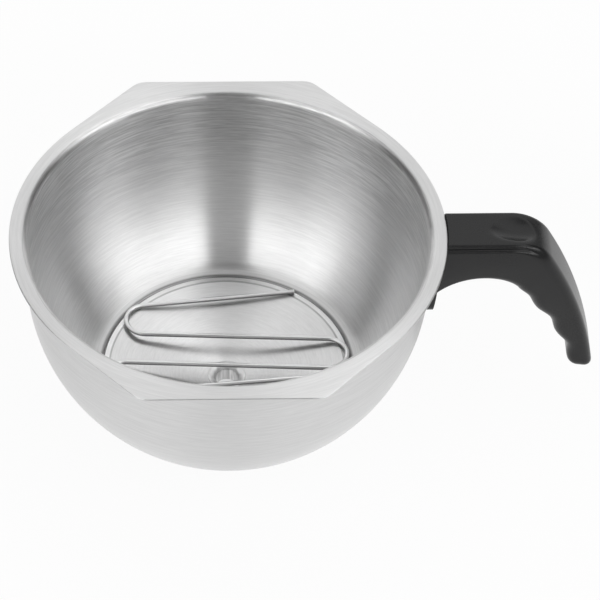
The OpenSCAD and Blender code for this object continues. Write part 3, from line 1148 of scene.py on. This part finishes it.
    def loft(self) -> bpy.types.Object:
        """Arm, knuckle, grip and rounded tip as one closed skin.

        Returns:
            The loft.
        """
        stations = [u for run in self.runs for u in spread(*run)]
        rings = [self.ring(u) for u in stations]
        way = self.back_point(3.0) - self.back_point(self.tip_from)
        way = way + self.finger_point(3.0) - self.finger_point(self.tip_from)
        way.normalize()
        for i in range(self.tip_steps + 1):
            a = math.radians(self.tip_turn * i / self.tip_steps)
            rings.append(self.ring(3.0, math.sqrt(math.cos(a)), way * (self.tip_round * math.sin(a))))
        return skin("handle_moulded", rings, closed=False)

    def bowl_room(self, gap: float) -> bpy.types.Object:
        """Outside of the bowl as a solid.

        Args:
            gap: how far it is grown.

        Returns:
            The solid.
        """
        side = arc(self.bowl.belly_c, self.bowl.belly_r + gap, 0.0, self.bowl.belly_end, self.room_steps)
        profile = [(0.0, self.room_top), (self.bowl.wall_r + gap, self.room_top), *side, (0.0, side[-1][1])]
        return lathe("bowl_room", profile, self.bowl.rim_z, self.room_columns)

    def flange_room(self) -> bpy.types.Object:
        """Room for the flange, as a disc above its underside.

        Returns:
            The disc.
        """
        low, high = -self.bowl.sheet - self.clear, self.room_top + OVERLAP
        radius = self.bowl.flange_r + self.clear
        profile = [(0.0, low), (radius, low), (radius, high), (0.0, high)]
        return lathe("flange_room", profile, self.bowl.rim_z, self.room_columns)

    def foot(self) -> bpy.types.Object:
        """Foot plate as a block whose lower corners are rounded; the rooms trim it afterwards.

        Returns:
            The block.
        """
        half, c = self.width / 2 - self.foot_inset, self.foot_corner
        outline = [(half, 0.0), *arc((half - c, c - self.foot_drop), c, 0.0, -90.0, self.foot_steps),
                   *arc((c - half, c - self.foot_drop), c, 270.0, 180.0, self.foot_steps), (-half, 0.0)]
        ends = (self.bowl.wall_r - self.foot_reach, self.bowl.wall_r + self.foot_reach)
        rings = [[(x, y, z + self.bowl.rim_z) for y, z in outline] for x in ends]
        return skin("foot_block", rings, closed=False)

    def build(self, fixing_room: bpy.types.Object) -> bpy.types.Object:
        """Makes the handle.

        Args:
            fixing_room: room for the bracket and the screws, which is used up.

        Returns:
            The handle.
        """
        foot = self.foot()
        combine(foot, self.bowl_room(self.clear + self.foot_t), Blend.TRIM)
        made = self.loft()
        combine(made, foot, Blend.JOIN)
        for room in (self.bowl_room(self.clear), self.flange_room(), fixing_room):
            combine(made, room, Blend.CUT)
        clean_mesh(made.data, merge=1e-6, flat=1e-6)
        made.data.shade_smooth()
        made.data.set_sharp_from_angle(angle=math.radians(self.sharp_angle))
        return made


@dataclass
class Fixing:
    """Room for the bracket and the screws in the handle's root, in millimetres from the top of the flange."""

    bowl: FunnelBowl
    strip_t: float = 2.5
    strip_w: float = 14.0
    tongue_len: float = 30.0
    tongue_drop: float = 7.0
    leg_h: float = 16.0
    screw_d: float = 5.0
    screw_x: float = 6.0
    screw_pitch: float = 12.0
    screw_tip: float = 0.5
    head_d: float = 9.2
    nut_h: float = 4.0
    floor_t: float = 2.5
    clear: float = 0.3
    inner_x: float = 60.0
    hole_end: float = -60.0
    hole_sides: int = 48

    def __post_init__(self) -> None:
        """Works out the heights and the screws' places."""
        first = self.bowl.flange_r + self.screw_x
        self.places = (first, first + self.screw_pitch)
        self.slot_top = -self.tongue_drop + self.nut_h + self.screw_tip + self.clear
        self.slot_low = -self.tongue_drop - self.strip_t - self.clear
        self.seat = self.slot_low - self.floor_t

    def room(self) -> bpy.types.Object:
        """Room inside the handle: the slot, the leg's room and the stepped screw holes.

        Returns:
            The room as a solid.
        """
        wide = self.strip_w / 2 + self.clear
        end = self.bowl.wall_r + self.tongue_len + self.clear
        leg = self.bowl.wall_r + self.strip_t + self.clear
        low = -self.tongue_drop - self.leg_h - self.clear
        side = [(self.inner_x, self.slot_top), (end, self.slot_top), (end, self.slot_low),
                (leg, self.slot_low), (leg, low), (self.inner_x, low)]
        rings = [[(x, y, z + self.bowl.rim_z) for x, z in side] for y in (-wide, wide)]
        made = skin("fixing_room", rings, closed=False)
        bore, head = self.screw_d / 2 + self.clear, self.head_d / 2 + self.clear
        top = self.slot_low + OVERLAP
        profile = [(0.0, top), (bore, top), (bore, self.seat), (head, self.seat), (head, self.hole_end),
                   (0.0, self.hole_end)]
        turn = Matrix.Rotation(math.pi / self.hole_sides, 4, "Z")
        for x in self.places:
            hole = lathe("screw_hole", profile, self.bowl.rim_z, self.hole_sides)
            hole.data.transform(Matrix.Translation((x * MM, 0.0, 0.0)) @ turn)
            combine(made, hole, Blend.JOIN)
        return made


@dataclass
class Studio:
    """Camera, floor and surround, in metres and degrees; heights in the surround are sines of elevation."""

    rim_z: float
    room_level: float = 0.05
    wall_level: float = 0.93
    wall_from: float = 138.0
    wall_edge: float = 8.0
    box_level: float = 5.2
    box_wide: float = 86.0
    box_edge: float = 18.0
    box_skew: float = -6.0
    box_low: float = 0.42
    box_low_edge: float = 0.05
    box_high: float = 0.62
    box_high_edge: float = 0.04
    gap: float = 0.21
    gap_edge: float = 0.012
    gap_shift: float = 0.02
    gap_fill: float = 0.16
    front_edge: float = 0.1
    over_level: float = 1.05
    over_low: float = 0.75
    over_edge: float = 0.03
    over_skew: float = 0.5
    floor_half: float = 12.0
    floor_grey: float = 0.82
    floor_glow: float = 0.93
    drain_glow: float = 0.65
    drain_edge: Pair = (0.006, 0.012)
    focal_px: float = 3508.2
    distance: float = 1.425
    elevation: float = 46.47
    azimuth: float = -3.39
    roll: float = 1.97
    rim_px: Point = (228.65, 233.28)
    frame_px: float = 600.0
    sensor: float = 36.0
    clip: Pair = (0.05, 50.0)

    def camera(self) -> None:
        """Camera at the photograph's angle: the middle of the rim falls on a known pixel."""
        a, e, roll = (math.radians(v) for v in (self.azimuth, self.elevation, self.roll))
        level = Vector((math.cos(a), math.sin(a), 0.0))
        ahead = Vector((-math.sin(a) * math.cos(e), math.cos(a) * math.cos(e), -math.sin(e)))
        plumb = ahead.cross(level)
        right = level * math.cos(roll) - plumb * math.sin(roll)
        down = level * math.sin(roll) + plumb * math.cos(roll)
        off_x, off_y = ((px - self.frame_px / 2) / self.focal_px * self.distance for px in self.rim_px)
        lens = bpy.data.cameras.new("photo_camera")
        lens.sensor_width = self.sensor
        lens.lens = self.focal_px * self.sensor / self.frame_px
        lens.clip_start, lens.clip_end = self.clip
        made = add_object("photo_camera", lens)
        made.matrix_world = Matrix((right, -down, -ahead)).transposed().to_4x4()
        made.location = Vector((0.0, 0.0, self.rim_z)) - right * off_x - down * off_y - ahead * self.distance
        bpy.context.scene.camera = made

    def floor(self) -> None:
        """Pale floor that shows white and keeps a soft shadow; a painted shadow under the drain makes it glow
        less there.
        """
        half = self.floor_half
        corners = [(-half, -half, 0.0), (half, -half, 0.0), (half, half, 0.0), (-half, half, 0.0)]
        made = add_mesh("floor", corners, [], [range(len(corners))])
        board = MaterialBoard("floor_white")
        camera, glossy, through = (board.signal("ShaderNodeLightPath", f"Is {kind} Ray")
                                   for kind in ("Camera", "Glossy", "Transmission"))
        # Painted shadow: the floor glows less under the drain.
        glow_with_drain_shadow = self.drain_glow + (1.0 - self.drain_glow) * board.radius.fade(*self.drain_edge)
        seen = (camera + glossy + through) * glow_with_drain_shadow
        white = board.node("ShaderNodeEmission", {"Color": WHITE, "Strength": 1.0}).outputs[0]
        chalk = board.node("ShaderNodeBsdfDiffuse", {"Color": (*grey(self.floor_grey), 1.0)}).outputs[0]
        mixed = board.node("ShaderNodeMixShader", {0: seen * self.floor_glow, 1: chalk, 2: white})
        board.node("ShaderNodeOutputMaterial", {"Surface": mixed.outputs[0]})
        paint(made, board.material)

    def surround(self) -> None:
        """Dim room: two softboxes with a gap in front, a ceiling and a back wall; the camera sees white."""
        world = bpy.data.worlds.new("studio")
        bpy.context.scene.world = world
        world.use_nodes = True
        board = NodeBoard(world.node_tree)
        x, y, z = board.split(board.node("ShaderNodeTexCoord").outputs["Generated"])
        side = (x + self.gap_shift).math("ABSOLUTE")
        turn = side.math("ARCTAN2", y * -1.0) * math.degrees(1.0)
        strip = (1.0 - side.around(self.gap, self.gap_edge)) * (1.0 - y.around(0.0, self.front_edge))
        ceiling = z.around(self.over_low, self.over_edge)
        skewed = turn + x * self.box_skew
        boxes = (1.0 - skewed.around(self.box_wide, self.box_edge)) * (1.0 - strip * (1.0 - self.gap_fill))
        boxes = boxes * z.around(self.box_low, self.box_low_edge)
        boxes = boxes * (1.0 - z.around(self.box_high, self.box_high_edge))
        over = ceiling * (1.0 - strip) * (1.0 + x * self.over_skew)
        wall = turn.around(self.wall_from, self.wall_edge) * (1.0 - ceiling)
        level = self.room_level + wall * self.wall_level + boxes * self.box_level + over * self.over_level
        camera = board.signal("ShaderNodeLightPath", "Is Camera Ray")
        level = level + camera * (1.0 - level)
        glow = board.node("ShaderNodeBackground", {"Color": WHITE, "Strength": level})
        board.node("ShaderNodeOutputWorld", {"Surface": glow.outputs[0]})

    def build(self) -> None:
        """Sets up the whole studio."""
        self.camera()
        self.floor()
        self.surround()
        bpy.context.scene.view_settings.view_transform = "Standard"


def main() -> None:
    """Builds and dresses every piece, then the studio."""
    logging.basicConfig(level=logging.INFO, format="%(name)s: %(message)s")
    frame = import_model()
    _, bowl_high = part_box("funnel_bowl")
    rack_low, rack_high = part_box("wire_rack")
    rim_z = bowl_high.z / MM
    wire_z, wire_r = (rack_low.z + rack_high.z) / 2, (rack_high.z - rack_low.z) / 2
    # Painted shade: a darker ring along the groove at the floor's edge and a thin darker line at the ledge's
    # inner edge.
    seam_shade, ledge_shade_line = (0.0527, 0.0017, 0.6), (0.0497, 0.0006, 0.4)
    steel = BrushedSteel("bowl_brushed", grey(0.70), roughness=0.34, anisotropic=0.9, contrast=0.07,
                         rings=(seam_shade,)).make()
    # The inner wall's top shade is painted shade, darker towards the top of the wall.
    inner = BrushedSteel("bowl_inside", grey(0.70), roughness=0.305, anisotropic=0.96, contrast=0.27,
                         rings=(seam_shade,), wide=0.32, wide_roughness=0.41, calm_z=(0.045, 0.08),
                         painted_top_shade=0.18).make()
    # Painted light: the floor has its own brushing, and its lighter colour and the ledge's still lighter one
    # are painted light.
    dish = BrushedSteel("bowl_floor", grey(0.83), roughness=0.33, anisotropic=0.85, contrast=0.06,
                        rings=(ledge_shade_line,)).make()
    ledge = BrushedSteel("bowl_ledge", grey(0.93), roughness=0.30, anisotropic=0.5, contrast=0.05,
                         rings=(ledge_shade_line,)).make()
    # Painted light: the spout's steel is lighter than the bowl's, to brighten its shaded bore.
    turned = BrushedSteel("spout_turned", grey(0.84), roughness=0.30, anisotropic=0.3, contrast=0.6,
                          along=0.05, turn_reach=2.2).make()
    # Painted light and shade on the wire: a light colour for its bright top and a darker underside.
    wire = DrawnWire("wire_drawn", grey(0.88), roughness=0.31, painted_shade_depth=0.66,
                     painted_shade_z=(wire_z + 0.05 * wire_r, wire_z + 0.85 * wire_r)).make()
    black = BlackMoulding("handle_black", (0.0108, 0.0108, 0.0112), roughness=0.28).make()
    plated = DrawnWire("fixing_plated", grey(0.62), roughness=0.34).make()

    bowl = FunnelBowl(rim_z, bowl_high.x / MM, bowl_high.y / MM)
    shell = bowl.build()
    finish_piece(shell, steel, Body.POT, "funnel_bowl")
    bowl.dress_inside(shell, inner, dish, ledge)
    spout = DrainSpout(bowl.seat_z + rim_z)
    pipe = spout.build()
    finish_piece(pipe, turned, Body.POT, "drain_spout")
    spout.dress_lip(pipe, dish)
    rack = WireRack(bowl.fillet_c[0] - bowl.ledge_w / 2, wire_z / MM)
    finish_piece(rack.build(wire), wire, Body.RACK, "wire_rack")
    moulding = Handle(bowl).build(Fixing(bowl).room())
    finish_piece(moulding, black, Body.POT, "handle")
    for name in ("handle_bracket", "bracket_nuts", "handle_screws", "lock_washers"):
        paint(frame["nodes"][name], plated)
        log.info("%s keeps its own shape", name)

    Studio(rim_z * MM).build()
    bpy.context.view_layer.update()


if __name__ == "__main__":
    main()
